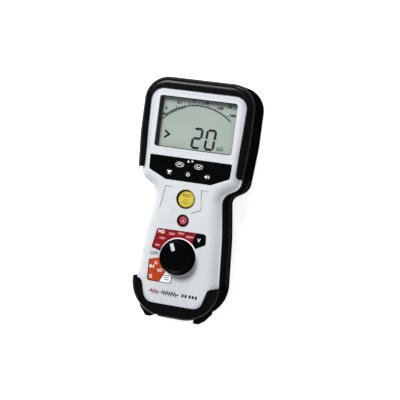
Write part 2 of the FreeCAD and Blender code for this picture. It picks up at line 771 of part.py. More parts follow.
def make_components():
    """The larger parts on the main board."""
    low = D.board_low
    core = block("transformer_core", -34, -14, 50, 66, low - 15, low)
    coil = rod("transformer_coil", (-35.5, 58, low - 7.5), 23, 6.5, "X")
    piece("voltage_transformer", fuse("transformer_body", core, coil))
    capacitors = [rod(f"capacitor_{i}", (x, 46, low - 5), 20, 5, "Y") for i, x in enumerate((6, 18))]
    piece("reservoir_capacitors", group("capacitors_body", *capacitors))
    relays = [block(f"relay_{i}", x, x + 10, 76, 92.5 - 7, low - 10, low)
              for i, x in enumerate((-33, 23))]
    piece("discharge_relays", group("relays_body", *relays))
    piece("buzzer", tube("buzzer_body", (-22, -14, BOARD_TOP), 5, 6, 1))
    piece("processor", padded("processor", rectangle(8, 22, -37, -23, 0.5), BOARD_TOP,
                              BOARD_TOP + 1.6))
    fuses, clips = [], []
    for i, y in enumerate((4, 13)):
        fuses.append(rod(f"fuse_{i}", (-16, y, low - 5), 32, 3.15, "X"))
        for j, x in enumerate((-15, 10)):
            clip = block(f"clip_{i}_{j}", x, x + 5, y - 3.9, y + 3.9, low - 6.5, low)
            room = rod(f"clip_room_{i}_{j}", (x - 1, y, low - 5), 7, 3.15, "X")
            clips.append(cut(f"fuse_clip_{i}_{j}", clip, room))
    piece("fuses", group("fuses_body", *fuses))
    piece("fuse_clips", group("fuse_clips_body", *clips))


# ----------------------------------------------------------------- terminals
SOCKET_NAMES = ["socket_positive", "socket_guard", "socket_negative"]


def make_terminals():
    """The terminal block in the top end, three shrouded sockets and their contact sleeves."""
    z = D.socket_height
    body = rounded("terminal_form", block("terminal_box", -29.9, 29.9, 88, 112.6, 14.1, 35.9), 3.9,
                   lengthwise)
    wells = [rod(f"well_{i}", (D.socket_pitch * (i - 1), 87, z), 30, D.socket_radius, "Y")
             for i in range(len(SOCKET_NAMES))]
    piece("terminal_block", cut("terminal_block_body", body, *wells))
    sleeve = D.contact_radius + D.contact_wall
    sleeves = []
    for i, name in enumerate(SOCKET_NAMES):
        x = D.socket_pitch * (i - 1)
        mouth = 113.3
        outer = rod(name + "_outer", (x, 88, z), mouth - 88, D.socket_radius, "Y")
        shroud = tube(name + "_shroud_gap", (x, 96, z), 20, 6.2, 4.3, "Y")
        bore = rod(name + "_bore", (x, 93, z), 30, sleeve, "Y")
        lead_in = rod(name + "_lead_in", (x, D.contact_mouth, z), 10, 4.4, "Y")
        piece(name, cut(name + "_body", outer, shroud, bore, lead_in))
        start = D.contact_mouth - D.contact_length
        sleeves.append(tube(f"sleeve_{i}", (x, start, z), D.contact_length, sleeve,
                            D.contact_radius, "Y"))
    piece("socket_contacts", group("socket_contacts_body", *sleeves))


# ----------------------------------------------------------------- battery bay
def make_battery_bay():
    """The tray, five cells, their contacts, and the cover on the back."""
    x, low, high, top = D.bay_x, D.bay_low, D.bay_high, D.bay_top
    floor = D.back_plane + D.case_wall
    box = slab("tray_box", rectangle(-x - 1.2, x + 1.2, low - 1.2, high + 1.2, 4), floor, top + 1.2)
    room = slab("tray_room", rectangle(-x, x, low, high, 3), floor - 1, top)
    piece("battery_tray", cut("battery_tray_body", box, room))
    z = floor + 0.3 + D.cell_radius
    cells, contacts = [], []
    for i in range(4):
        cell_x = (i - 1.5) * 14.9
        cells.append(cell(f"cell_{i}", (cell_x, -90.8, z), "Y"))
        for j, y in enumerate((low + 0.2, low + D.cell_length + 5.2)):
            contacts.append(block(f"contact_{i}_{j}", cell_x - 5, cell_x + 5, y, y + 0.4,
                                  floor + 2, top - 2))
    cells.append(cell("cell_across", (-25.4, -28.2, z), "X"))
    for j, edge in enumerate((-x + 0.2, x - 0.6)):
        contacts.append(block(f"contact_across_{j}", edge, edge + 0.4, -33, -23, floor + 2, top - 2))
    piece("battery_cells", group("battery_cells_body", *cells))
    piece("battery_contacts", group("battery_contacts_body", *contacts))
    gap = D.cover_gap
    plate = slab("cover_plate", rectangle(-x + gap, x - gap, low + gap, high - gap, 3 - gap),
                 D.back_plane, floor)
    tongue = slab("cover_tongue", rectangle(gap - 28, 28 - gap, high - 4, D.tongue_high - gap,
                                            3 - gap), D.back_plane, D.back_plane + D.tongue_thick)
    holes = [rod(f"cover_hole_{i}", (a, b, 0), 10, D.screw_radius + 0.2)
             for i, (a, b) in enumerate(cover_screw_places())]
    holes += [rod(f"cover_counterbore_{i}", (a, b, 0), D.cover_head_low + HEAD_TALL,
                  D.head_radius + D.head_gap)
              for i, (a, b) in enumerate(cover_screw_places())]
    ribs = [block(f"cover_rib_{i}", -18, 18, y, y + 1.4, 0, D.back_plane + 0.6)
            for i, y in enumerate((-88.0, -84.6, -81.2, -77.8))]
    piece("battery_cover", cut("battery_cover_body", fuse("cover_solid", plate, tongue), *holes,
                               *ribs))


def cell(name, start, axis):
    """One round cell with its raised positive end."""
    x, y, z = (sized(size) for size in start)
    can = rod(name + "_can", start, D.cell_length - 1.2, D.cell_radius, axis)
    if axis == "Y":
        tip = (x, y + D.cell_length - 1.2, z)
    else:
        tip = (x + D.cell_length - 1.2, y, z)
    return fuse(name, can, rod(name + "_tip", tip, 1.2, 2.7, axis))


# ----------------------------------------------------------------- stand
def make_stand():
    """The fold-out stand on the back, and the pin that it turns on."""
    y, z = D.stand_y, D.stand_z
    plate = slab("stand_plate_full", rectangle(-D.stand_x, D.stand_x, D.stand_end, y, 4), 3.0, 5.4)
    light = slab("stand_window", rectangle(-10, 10, 42, 60, 4), 0, 8)
    barrel = rod("stand_barrel", (-25, y, z), 50, 3, "X")
    bore = rod("stand_bore", (-27, y, z), 54, D.pin_radius + D.running_gap, "X")
    piece("rear_stand", cut("rear_stand_body", fuse("stand_solid", plate, barrel), light, bore))
    piece("stand_pin", rod("stand_pin_body", (-28.5, y, z), 57, D.pin_radius, "X"))


def check_and_write():
    """Stop if any object failed, then write every piece to its own file."""
    doc.recompute()
    for item in doc.Objects:
        if "Invalid" in item.State or "Error" in item.State:
            raise RuntimeError(f"{item.Name} failed: {item.State}")
    os.makedirs("parts", exist_ok=True)
    for solid in pieces:
        shape = solid.Shape
        if shape.isNull() or not shape.isValid() or not shape.Solids:
            raise RuntimeError(f"{solid.Label} has no valid solid")
        shape.exportStep(f"parts/{solid.Label}.step")


make_front_case()
make_rear_case()
make_bumpers()
make_seal()
make_feet()
make_screws()
make_display()
make_keypad()
make_button("test_button", D.test_y, D.test_radius, FRONT - 1.5, 1.4)
make_button("lock_button", D.lock_y, D.lock_radius, FRONT - 0.8, 1.0)
make_switches()
make_range_switch()
make_range_label()
make_main_board()
make_components()
make_terminals()
make_battery_bay()
make_stand()
check_and_write()
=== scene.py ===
"""Looks for a hand-held insulation resistance tester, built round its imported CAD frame.

Lengths in the tables below are millimetres in the CAD frame; meshes are made in metres.
"""
import bmesh
import bpy
import json
import math
from mathutils import Matrix, Vector


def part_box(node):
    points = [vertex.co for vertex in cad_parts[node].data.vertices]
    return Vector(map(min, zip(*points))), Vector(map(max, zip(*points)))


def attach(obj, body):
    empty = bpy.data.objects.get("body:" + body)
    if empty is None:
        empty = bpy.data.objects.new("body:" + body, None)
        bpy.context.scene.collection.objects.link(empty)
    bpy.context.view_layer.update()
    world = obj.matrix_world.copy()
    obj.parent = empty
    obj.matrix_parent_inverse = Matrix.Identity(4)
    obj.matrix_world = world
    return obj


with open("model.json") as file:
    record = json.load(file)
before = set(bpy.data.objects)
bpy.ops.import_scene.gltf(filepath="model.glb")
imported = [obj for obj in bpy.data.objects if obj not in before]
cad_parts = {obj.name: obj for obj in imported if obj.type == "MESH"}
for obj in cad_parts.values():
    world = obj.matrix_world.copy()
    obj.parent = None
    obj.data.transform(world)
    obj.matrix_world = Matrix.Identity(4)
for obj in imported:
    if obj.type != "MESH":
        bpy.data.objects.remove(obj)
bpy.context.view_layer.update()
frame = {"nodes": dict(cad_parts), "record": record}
NODES = frame["nodes"]
MM = 0.001


# ----------------------------------------------------------------- materials
def blank_material(name):
    """A new node material with a principled shader, and a way to add nodes to it."""
    material = bpy.data.materials.new(name)
    material.use_nodes = True
    nodes, links = material.node_tree.nodes, material.node_tree.links
    nodes.clear()
    output = nodes.new("ShaderNodeOutputMaterial")
    shader = nodes.new("ShaderNodeBsdfPrincipled")
    links.new(shader.outputs["BSDF"], output.inputs["Surface"])
    return material, nodes, links, shader


def noise(nodes, links, scale, detail=4.0, stretch=None):
    """Noise in the object's own space, as a 0 to 1 value."""
    coordinates = nodes.new("ShaderNodeTexCoord")
    place = coordinates.outputs["Object"]
    if stretch:
        mapping = nodes.new("ShaderNodeMapping")
        mapping.inputs["Scale"].default_value = stretch
        links.new(place, mapping.inputs["Vector"])
        place = mapping.outputs["Vector"]
    texture = nodes.new("ShaderNodeTexNoise")
    texture.inputs["Scale"].default_value = scale
    texture.inputs["Detail"].default_value = detail
    links.new(place, texture.inputs["Vector"])
    return texture.outputs["Fac"]


def spread(nodes, links, value, low, high, start=0.3, end=0.7):
    """A value mapped from one span to another."""
    mapped = nodes.new("ShaderNodeMapRange")
    mapped.inputs["From Min"].default_value = start
    mapped.inputs["From Max"].default_value = end
    mapped.inputs["To Min"].default_value = low
    mapped.inputs["To Max"].default_value = high
    links.new(value, mapped.inputs["Value"])
    return mapped.outputs["Result"]


def blend_colour(nodes, links, value, first, second):
    """A colour that goes from the first to the second with a value."""
    mix = nodes.new("ShaderNodeMix")
    mix.data_type = "RGBA"
    mix.inputs["A"].default_value = (*first, 1)
    mix.inputs["B"].default_value = (*second, 1)
    links.new(value, mix.inputs["Factor"])
    return mix.outputs["Result"]


def moulded(name, colour, rough, grain=2600.0, depth=0.12, mottle=0.06, specular=0.5, scuffs=0.0,
            rough_spread=0.08, matt_sides=False):
    """Moulded plastic or rubber, with fine grain, faint mottling and soft handling marks.

    With matt_sides, faces that stand upright lose their sheen.
    """
    material, nodes, links, shader = blank_material(name)
    shader.inputs["Specular IOR Level"].default_value = specular
    if matt_sides:
        coordinates = nodes.new("ShaderNodeTexCoord")
        split = nodes.new("ShaderNodeSeparateXYZ")
        links.new(coordinates.outputs["Normal"], split.inputs["Vector"])
        upright = nodes.new("ShaderNodeMath")
        upright.operation = "ABSOLUTE"
        links.new(split.outputs["Z"], upright.inputs[0])
        links.new(spread(nodes, links, upright.outputs[0], 0.0, specular, 0.2, 0.7),
                  shader.inputs["Specular IOR Level"])
    cloud = spread(nodes, links, noise(nodes, links, 55.0, 5.0), 0.0, 1.0)
    darker = tuple(channel * (1 - mottle) for channel in colour)
    lighter = tuple(min(1.0, channel * (1 + mottle)) for channel in colour)
    tint = blend_colour(nodes, links, cloud, darker, lighter)
    uneven = spread(nodes, links, noise(nodes, links, 120.0, 6.0), rough - rough_spread,
                    rough + rough_spread)
    if scuffs:
        marks = noise(nodes, links, 90.0, 8.0, stretch=(1.0, 5.0, 2.0))
        worn = spread(nodes, links, marks, 0.0, scuffs, 0.60, 0.72)
        mixed = nodes.new("ShaderNodeMix")
        mixed.data_type = "RGBA"
        mixed.inputs["B"].default_value = (0.30, 0.30, 0.31, 1)
        links.new(worn, mixed.inputs["Factor"])
        links.new(tint, mixed.inputs["A"])
        tint = mixed.outputs["Result"]
    links.new(tint, shader.inputs["Base Color"])
    links.new(uneven, shader.inputs["Roughness"])
    bump = nodes.new("ShaderNodeBump")
    bump.inputs["Strength"].default_value = depth
    bump.inputs["Distance"].default_value = 0.0002
    links.new(noise(nodes, links, grain, 2.0), bump.inputs["Height"])
    links.new(bump.outputs["Normal"], shader.inputs["Normal"])
    return material


def metal(name, colour, rough, stretch, depth=0.08):
    """Drawn or turned metal, with fine lines along its working direction."""
    material, nodes, links, shader = blank_material(name)
    shader.inputs["Metallic"].default_value = 1.0
    lines = noise(nodes, links, 900.0, 4.0, stretch)
    dull = tuple(channel * 0.8 for channel in colour)
    links.new(blend_colour(nodes, links, spread(nodes, links, lines, 0, 1), dull, colour),
              shader.inputs["Base Color"])
    links.new(spread(nodes, links, lines, rough - 0.1, rough + 0.12), shader.inputs["Roughness"])
    bump = nodes.new("ShaderNodeBump")
    bump.inputs["Strength"].default_value = depth
    bump.inputs["Distance"].default_value = 0.0001
    links.new(lines, bump.inputs["Height"])
    links.new(bump.outputs["Normal"], shader.inputs["Normal"])
    return material


def printed(name, colour, rough=0.45, mottle=0.05, specular=0.3):
    """Screen-printed ink: an even colour with a slightly dappled sheen."""
    return moulded(name, colour, rough, grain=5000.0, depth=0.05, mottle=mottle, specular=specular)


def clear(name, colour, alpha):
    """A clear window: nearly see-through, with a polished face and the faintest smears."""
    material, nodes, links, shader = blank_material(name)
    shader.inputs["Base Color"].default_value = (*colour, 1)
    shader.inputs["Alpha"].default_value = alpha
    shader.inputs["Specular IOR Level"].default_value = 0.06
    links.new(spread(nodes, links, noise(nodes, links, 60.0, 6.0), 0.04, 0.14),
              shader.inputs["Roughness"])
    return material


def circuit_board(name):
    """Green solder mask with darker track areas."""
    material, nodes, links, shader = blank_material(name)
    speckle = noise(nodes, links, 700.0, 0.0, (1.0, 0.2, 1.0))
    tracks = spread(nodes, links, speckle, 0, 1, 0.48, 0.52)
    links.new(blend_colour(nodes, links, tracks, (0.008, 0.10, 0.035), (0.02, 0.19, 0.07)),
              shader.inputs["Base Color"])
    shader.inputs["Roughness"].default_value = 0.32
    bump = nodes.new("ShaderNodeBump")
    bump.inputs["Strength"].default_value = 0.2
    bump.inputs["Distance"].default_value = 0.0001
    links.new(tracks, bump.inputs["Height"])
    links.new(bump.outputs["Normal"], shader.inputs["Normal"])
    return material


SLOTS = {
    "bumper_rubber": moulded("bumper_rubber", (0.0018, 0.0020, 0.0024), 0.22, grain=1900,
                             depth=0.12, mottle=0.15, specular=0.10, scuffs=0.006,
                             rough_spread=0.05, matt_sides=True),
    "seal_rubber": moulded("seal_rubber", (0.02, 0.02, 0.02), 0.7),
    "light_shell": moulded("light_shell", (0.535, 0.558, 0.578), 0.42, grain=2400, depth=0.10,
                           mottle=0.025, specular=0.35),
    "dark_shell": moulded("dark_shell", (0.0045, 0.0047, 0.0052), 0.44, grain=2200, depth=0.3,
                          mottle=0.12, specular=0.12, scuffs=0.008, matt_sides=True),
    "dark_trim": moulded("dark_trim", (0.0010, 0.0011, 0.0013), 0.30, grain=3200, depth=0.08,
                         mottle=0.1, specular=0.035, matt_sides=True),
    "pale_plastic": moulded("pale_plastic", (0.50, 0.52, 0.54), 0.5, specular=0.3),
    "key_rubber": moulded("key_rubber", (0.0025, 0.0025, 0.003), 0.45, depth=0.12, specular=0.10,
                          matt_sides=True),
    "yellow_button": moulded("yellow_button", (0.60, 0.47, 0.045), 0.38, mottle=0.03, specular=0.3),
    "crimson_button": moulded("crimson_button", (0.15, 0.004, 0.016), 0.36, mottle=0.06,
                              specular=0.3),
    "label_print": printed("label_print", (0.0012, 0.0010, 0.0014), specular=0.03),
    "clear_lens": clear("clear_lens", (0.40, 0.43, 0.44), 0.015),
    "lcd_glass": moulded("lcd_glass", (0.312, 0.368, 0.328), 0.5, grain=6000, depth=0.03,
                         mottle=0.02, specular=0.10),
    "board": circuit_board("board"),
    "brass": metal("brass", (0.66, 0.47, 0.17), 0.30, (1.0, 0.05, 1.0)),
    "steel": metal("steel", (0.58, 0.58, 0.60), 0.34, (1.0, 1.0, 0.1)),
    "can_metal": metal("can_metal", (0.62, 0.63, 0.66), 0.36, (1.0, 0.08, 1.0)),
    "red_plastic": moulded("red_plastic", (0.42, 0.012, 0.012), 0.4),
    "blue_plastic": moulded("blue_plastic", (0.02, 0.07, 0.30), 0.4),
}
INK = {
    "white_ink": printed("white_ink", (0.85, 0.86, 0.88)),
    "soft_ink": printed("soft_ink", (0.70, 0.42, 0.43)),
    # Grey used only for painted shade: the line round the bezel that stands in for the shade on a
    # fine step.
    "painted_shade_grey": printed("painted_shade_grey", (0.46, 0.47, 0.50)),
    "dark_ink": printed("dark_ink", (0.022, 0.022, 0.028), specular=0.1),
    "red_ink": printed("red_ink", (0.235, 0.005, 0.010), mottle=0.10, specular=0.08),
    "orange_ink": printed("orange_ink", (0.385, 0.044, 0.013), mottle=0.08, specular=0.08),
    "pink_ink": printed("pink_ink", (0.75, 0.16, 0.24)),
    "olive_ink": printed("olive_ink", (0.12, 0.09, 0.012)),
    "lcd_dark": printed("lcd_dark", (0.004, 0.007, 0.007), rough=0.6, specular=0.05),
}


def finish_nodes():
    """Give every CAD node the material of its slot in the record."""
    for part in frame["record"]["subparts"]:
        node = NODES[part["node"]]
        node.data.materials.clear()
        node.data.materials.append(SLOTS[part["material_slot"]])


# ----------------------------------------------------------------- thin printed shapes
def low(node):
    """A CAD node's lowest corner, in millimetres."""
    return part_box(node)[0] / MM


def high(node):
    """A CAD node's highest corner, in millimetres."""
    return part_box(node)[1] / MM


def middle(node):
    """The middle of a CAD node's box, in millimetres."""
    return (low(node) + high(node)) / 2


def add_prism(mesh, outline, z0, z1):
    """Add a closed prism with a flat outline between two heights."""
    bottom = [mesh.verts.new((x * MM, y * MM, z0 * MM)) for x, y in outline]
    top = [mesh.verts.new((x * MM, y * MM, z1 * MM)) for x, y in outline]
    mesh.faces.new(list(reversed(bottom)))
    mesh.faces.new(top)
    count = len(outline)
    for i in range(count):
        j = (i + 1) % count
        mesh.faces.new((bottom[i], bottom[j], top[j], top[i]))


def add_band(mesh, inner, outer, z0, z1, closed):
    """Add a closed solid band between two equal-length rows of points."""
    rows = []
    for z in (z0, z1):
        for row in (inner, outer):
            rows.append([mesh.verts.new((x * MM, y * MM, z * MM)) for x, y in row])
    count = len(inner)
    for i in range(count if closed else count - 1):
        j = (i + 1) % count
        low_in, low_out, top_in, top_out = rows
        mesh.faces.new((low_in[i], low_in[j], low_out[j], low_out[i]))
        mesh.faces.new((top_in[i], top_out[i], top_out[j], top_in[j]))
        mesh.faces.new((low_in[i], top_in[i], top_in[j], low_in[j]))
        mesh.faces.new((low_out[i], low_out[j], top_out[j], top_out[i]))
    if not closed:
        for i in (0, count - 1):
            mesh.faces.new([row[i] for row in (rows[0], rows[1], rows[3], rows[2])])


def is_clockwise(outline):
    """Whether a flat outline runs clockwise."""
    area = 0.0
    for (x0, y0), (x1, y1) in zip(outline, outline[1:] + outline[:1]):
        area += x0 * y1 - x1 * y0
    return area < 0


def finish_mesh(name, mesh, material, body):
    """Turn a bmesh into a piece that rides on a body."""
    bmesh.ops.recalc_face_normals(mesh, faces=mesh.faces)
    data = bpy.data.meshes.new(name)
    mesh.to_mesh(data)
    mesh.free()
    data.materials.append(material)
    thing = bpy.data.objects.new(name, data)
    bpy.context.scene.collection.objects.link(thing)
    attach(thing, body)
    return thing


THICK = 0.03      # how thick a print is
CLEAR = 0.005     # how far a print stands off the face under it
SUNK = 0.33       # how far a button's mark reaches into its cap
INLAID = 0.36     # how thick a mark let into a button is


def plates(name, outlines, z, ink, body, thick=THICK):
    """One piece made of several thin flat shapes at one height."""
    mesh = bmesh.new()
    for outline in outlines:
        outline = list(outline)
        if is_clockwise(outline):
            outline.reverse()
        add_prism(mesh, outline, z, z + thick)
    return finish_mesh(name, mesh, INK[ink], body)


def stroke_rows(points, width, closed):
    """The two sides of a line of a set width, mitred at its corners."""
    count = len(points)
    left, right = [], []
    for i, point in enumerate(points):
        here = Vector(point)
        before = Vector(points[i - 1]) if closed or i > 0 else None
        after = Vector(points[(i + 1) % count]) if closed or i < count - 1 else None
        first = (here - before).normalized() if before else None
        second = (after - here).normalized() if after else None
        first = first or second
        second = second or first
        normal = Vector((-first.y - second.y, first.x + second.x)).normalized()
        reach = width / 2 / max(0.4, normal.dot(Vector((-first.y, first.x))))
        left.append(tuple(here + normal * reach))
        right.append(tuple(here - normal * reach))
    return left, right


def strokes(name, lines, width, z, ink, body, closed=False, thick=THICK):
    """One piece made of several drawn lines of a set width."""
    mesh = bmesh.new()
    for line in lines:
        left, right = stroke_rows(list(line), width, closed)
        add_band(mesh, left, right, z, z + thick, closed)
    return finish_mesh(name, mesh, INK[ink], body)


def circle(x, y, radius, start=0.0, end=360.0, steps=48, flat=1.0):
    """Points round a circle, or an oval if flattened, or an arc of either."""
    full = abs(end - start) >= 360.0
    count = steps if full else steps + 1
    points = []
    for i in range(count):
        angle = math.radians(start + (end - start) * i / steps)
        points.append((x + radius * math.cos(angle), y + radius * flat * math.sin(angle)))
    return points


def disc_ring(name, x, y, inner, outer, z, ink, body, thick=THICK):
    """A thin flat ring."""
    mesh = bmesh.new()
    add_band(mesh, circle(x, y, inner, steps=96), circle(x, y, outer, steps=96), z, z + thick, True)
    return finish_mesh(name, mesh, INK[ink], body)


def softened(corners, steps=6):
    """An outline with its corners (x, y, radius) rounded."""
    points = []
    count = len(corners)
    for i, (x, y, radius) in enumerate(corners):
        here = Vector((x, y))
        back = (Vector(corners[i - 1][:2]) - here).normalized()
        ahead = (Vector(corners[(i + 1) % count][:2]) - here).normalized()
        if radius <= 0:
            points.append((x, y))
            continue
        half = back.angle(ahead) / 2
        reach = radius / math.tan(half)
        centre = here + (back + ahead).normalized() * (radius / math.sin(half))
        first = here + back * reach - centre
        last = here + ahead * reach - centre
        sweep = first.angle_signed(last)
        for k in range(steps + 1):
            turned = first.copy()
            turned.rotate(Matrix.Rotation(-sweep * k / steps, 2))
            points.append(tuple(centre + turned))
    return points


def box_outline(x0, x1, y0, y1, radius=0.0):
    """A rectangle, with rounded corners if asked."""
    return softened([(x0, y0, radius), (x1, y0, radius), (x1, y1, radius), (x0, y1, radius)])


def words(name, items, z, ink, body, thick=THICK, weight=0.02):
    """One piece of short generic labels, each (text, x of middle, y of middle, size, turn)."""
    curves = []
    for text, x, y, size, turn in items:
        curve = bpy.data.curves.new(name + "_text", "FONT")
        curve.body = text
        curve.size = size * MM * 1.35
        curve.align_x = "CENTER"
        curve.align_y = "CENTER"
        curve.extrude = thick / 2 * MM
        curve.offset = size * MM * weight
        curve.resolution_u = 3
        curves.append((curve, Matrix.Translation((x * MM, y * MM, (z + thick / 2) * MM))
                       @ Matrix.Rotation(math.radians(turn), 4, "Z")))
    joined = bmesh.new()
    for curve, place in curves:
        holder = bpy.data.objects.new(name + "_holder", curve)
        bpy.context.scene.collection.objects.link(holder)
        bpy.context.view_layer.update()
        graph = bpy.context.evaluated_depsgraph_get()
        data = bpy.data.meshes.new_from_object(holder.evaluated_get(graph))
        data.transform(place)
        joined.from_mesh(data)
        bpy.data.objects.remove(holder)
        bpy.data.curves.remove(curve)
        bpy.data.meshes.remove(data)
    bmesh.ops.remove_doubles(joined, verts=joined.verts, dist=1e-7)
    return finish_mesh(name, joined, INK[ink], body)


# ----------------------------------------------------------------- display
# Each segment of a digit as two ends on a unit cell: x from 0 to 1, y from 0 to 1.
SEGMENTS = {
    "a": ((0, 1), (1, 1)), "b": ((1, 1), (1, 0.5)), "c": ((1, 0.5), (1, 0)),
    "d": ((0, 0), (1, 0)), "e": ((0, 0.5), (0, 0)), "f": ((0, 1), (0, 0.5)),
    "g": ((0, 0.5), (1, 0.5)),
}
DIGITS = {"2": "abged", "0": "abcdef"}


def digit(figure, x, y, width, height, slant, weight):
    """The outlines of one display digit, as six-sided segments with a gap between them."""
    outlines = []
    for key in DIGITS[figure]:
        ends = []
        for a, b in SEGMENTS[key]:
            ends.append(Vector((x + a * width + b * height * slant, y + b * height)))
        along = (ends[1] - ends[0]).normalized()
        side = Vector((-along.y, along.x)) * weight / 2
        gap = 0.12
        start = ends[0] + along * gap
        end = ends[1] - along * gap
        shape = [start, start + along * weight / 2 + side, end - along * weight / 2 + side, end,
                 end - along * weight / 2 - side, start + along * weight / 2 - side]
        outlines.append([tuple(point) for point in shape])
    return outlines


def make_display():
    """What the display shows: two large digits, a chevron, a unit and a curved scale."""
    z = high("lcd_cell").z + 0.01
    base_y = low("display_lens").y + 2.6
    wide, tall, slant, weight = 7.9, 18.0, 0.07, 2.4
    figures = digit("2", -3.6, base_y, wide, tall, slant, weight)
    figures += digit("0", 9.4, base_y, wide, tall, slant, weight)
    plates("display_digits", figures, z, "lcd_dark", "case")
    left, bottom, top = low("display_lens").x, low("display_lens").y, high("display_lens").y
    # Painted shade: a dark strip along the window's left edge, where the window's left wall shades
    # the display.
    plates("display_left_painted_shade", [box_outline(left, left + 1.9, bottom, top)], z, "lcd_dark", "case")
    strokes("display_chevron", [[(-31.2, 63.4), (-26.6, 59.9), (-31.2, 56.5)]], 2.0, z, "lcd_dark",
            "case")
    words("display_unit", [("GΩ", 24.0, 51.8, 3.3, 0)], z, "lcd_dark", "case",
          weight=0.03)
    centre_x, centre_y, radius = -0.4, 41.2, 48.6
    strokes("display_scale_arc", [circle(centre_x, centre_y, radius, 50, 132, 60)], 0.95, z,
            "lcd_dark", "case")

    def on_arc(angle, out):
        """A point at an angle, so far outside the arc."""
        turn = math.radians(angle)
        return (centre_x + (radius + out) * math.cos(turn),
                centre_y + (radius + out) * math.sin(turn))

    ticks = []
    for i, angle in enumerate(range(50, 133, 3)):
        reach = 2.8 if i % 5 == 2 else 1.3
        ticks.append([on_arc(angle + 0.6, out) for out in (0.1, reach)])
    strokes("display_scale_ticks", ticks, 0.85, z, "lcd_dark", "case")
    bars = [[on_arc(angle, out) for out in (-1.9, -0.3)] for angle in range(108, 137, 2)]
    strokes("display_bars", bars, 1.1, z, "lcd_dark", "case")
    plates("display_marker", [[(-34.9, 76.6), (-32.2, 79.3), (-35.4, 79.8)]], z, "lcd_dark", "case")
    words("display_scale_figures", [
        ("0", -32.6, 84.0, 2.9, 0), ("0.1", -20.4, 90.9, 2.9, 0), ("1", -6.6, 93.3, 3.0, 0),
        ("10", 6.0, 93.0, 2.9, 0), ("100", 19.7, 89.9, 2.9, 0), ("1000", 32.6, 84.4, 2.6, 0),
    ], z, "lcd_dark", "case", weight=0.07)
    strokes("display_battery_case", [box_outline(27.2, 34.6, 91.0, 94.2)], 0.5, z, "lcd_dark",
            "case", closed=True)
    plates("display_battery_level", [box_outline(27.9 + k * 1.6, 29.1 + k * 1.6, 91.6, 93.6)
                                     for k in range(2)], z, "lcd_dark", "case")


def make_bezel_step_painted_shade():
    """A grey line painted round the bezel of the window: painted shade that stands in for the shade
    on a fine step there.
    """
    z = high("keypad_panel").z + CLEAR
    x, bottom, top = 43.0, low("display_lens").y - 2.7, high("display_lens").y + 3.7
    strokes("bezel_step_painted_shade", [softened([(-x, bottom, 3), (x, bottom, 3), (x - 0.5, top, 6.5),
                                     (0.5 - x, top, 6.5)])], 0.5, z, "painted_shade_grey", "case",
            closed=True, thick=0.02)


# ----------------------------------------------------------------- keypad
def make_key_marks():
    """White symbols on the keys, each on its own key, and the pair of arrows between them."""
    z = high("range_up_key").z + CLEAR
    for node, body, rise in (("range_up_key", "range_up", 1), ("range_down_key", "range_down", -1)):
        x, y = middle(node).x, middle(node).y
        strokes(node + "_oval", [circle(x, y, 3.8, flat=0.56)], 0.36, z, "white_ink", body,
                closed=True)
        strokes(node + "_wave", [[(x - 2.1, y - 0.8 * rise), (x - 0.7, y + 0.7 * rise),
                                  (x + 0.7, y + 0.7 * rise), (x + 2.1, y - 0.8 * rise)]], 0.6, z,
                "white_ink", body)
    panel = high("keypad_panel").z + CLEAR
    plates("range_arrows", [[(-3.2, 36.1), (-1.0, 36.1), (-2.1, 38.1)],
                            [(0.6, 38.1), (2.8, 38.1), (1.7, 36.1)]], panel, "white_ink", "case")
    x, y = middle("lamp_key").x, middle("lamp_key").y
    plates("lamp_mark", [[(x - 2.5, y + 1.5), (x + 2.5, y + 1.5), (x + 1.1, y - 0.1),
                          (x - 1.1, y - 0.1)],
                         box_outline(x - 1.0, x + 1.0, y - 0.9, y - 0.3)], z, "white_ink", "lamp")
    rays = [[(x + k * 0.8, y - 1.2), (x + k * 1.2, y - 2.0)] for k in (-1, 0, 1)]
    strokes("lamp_rays", rays, 0.35, z, "white_ink", "lamp")
    x, y = middle("hold_key").x, middle("hold_key").y
    strokes("hold_mark", [circle(x, y - 0.2, 1.35)], 0.55, z, "white_ink", "hold", closed=True)
    strokes("hold_tick", [[(x, y + 0.3), (x, y + 2.0)]], 0.5, z, "white_ink", "hold")
    x, y = middle("buzzer_key").x, middle("buzzer_key").y
    plates("sound_mark", [[(x - 2.2, y - 0.6), (x - 1.2, y - 0.6), (x + 0.2, y - 1.7),
                           (x + 0.2, y + 1.7), (x - 1.2, y + 0.6), (x - 2.2, y + 0.6)]], z,
           "white_ink", "buzzer_mute")
    strokes("sound_waves", [circle(x + 0.1, y, r, -42, 42, 8) for r in (1.2, 2.1)], 0.42, z,
            "white_ink", "buzzer_mute")


def make_button_marks():
    """Generic marks on the round buttons."""
    x, y, z = middle("test_button").x, middle("test_button").y, high("test_button").z - SUNK
    words("test_word", [("TEST", x, y + 2.9, 3.1, 0)], z, "olive_ink", "test_button_body",
          INLAID)
    strokes("test_ring", [circle(x, y - 2.6, 2.1, 20, 340, 24)], 0.45, z, "olive_ink",
            "test_button_body", thick=INLAID)
    strokes("test_lines", [[(x - 1.0, y - 2.6), (x + 1.0, y - 2.6)],
                           [(x - 4.6, y - 3.4), (x - 3.4, y - 3.4)],
                           [(x + 3.4, y - 3.4), (x + 4.6, y - 3.4)]], 0.45, z, "olive_ink",
            "test_button_body", thick=INLAID)
    x, y, z = middle("lock_button").x, middle("lock_button").y, high("lock_button").z - SUNK
    strokes("lock_ring", [circle(x, y, 2.7)], 0.5, z, "pink_ink", "lock_button_body", closed=True,
            thick=INLAID)
    strokes("lock_shackle", [circle(x, y + 0.3, 0.95, 0, 180, 12)], 0.45, z, "pink_ink",
            "lock_button_body", thick=INLAID)
    plates("lock_plate", [box_outline(x - 1.3, x + 1.3, y - 1.5, y + 0.3)], z, "pink_ink",
           "lock_button_body", INLAID)


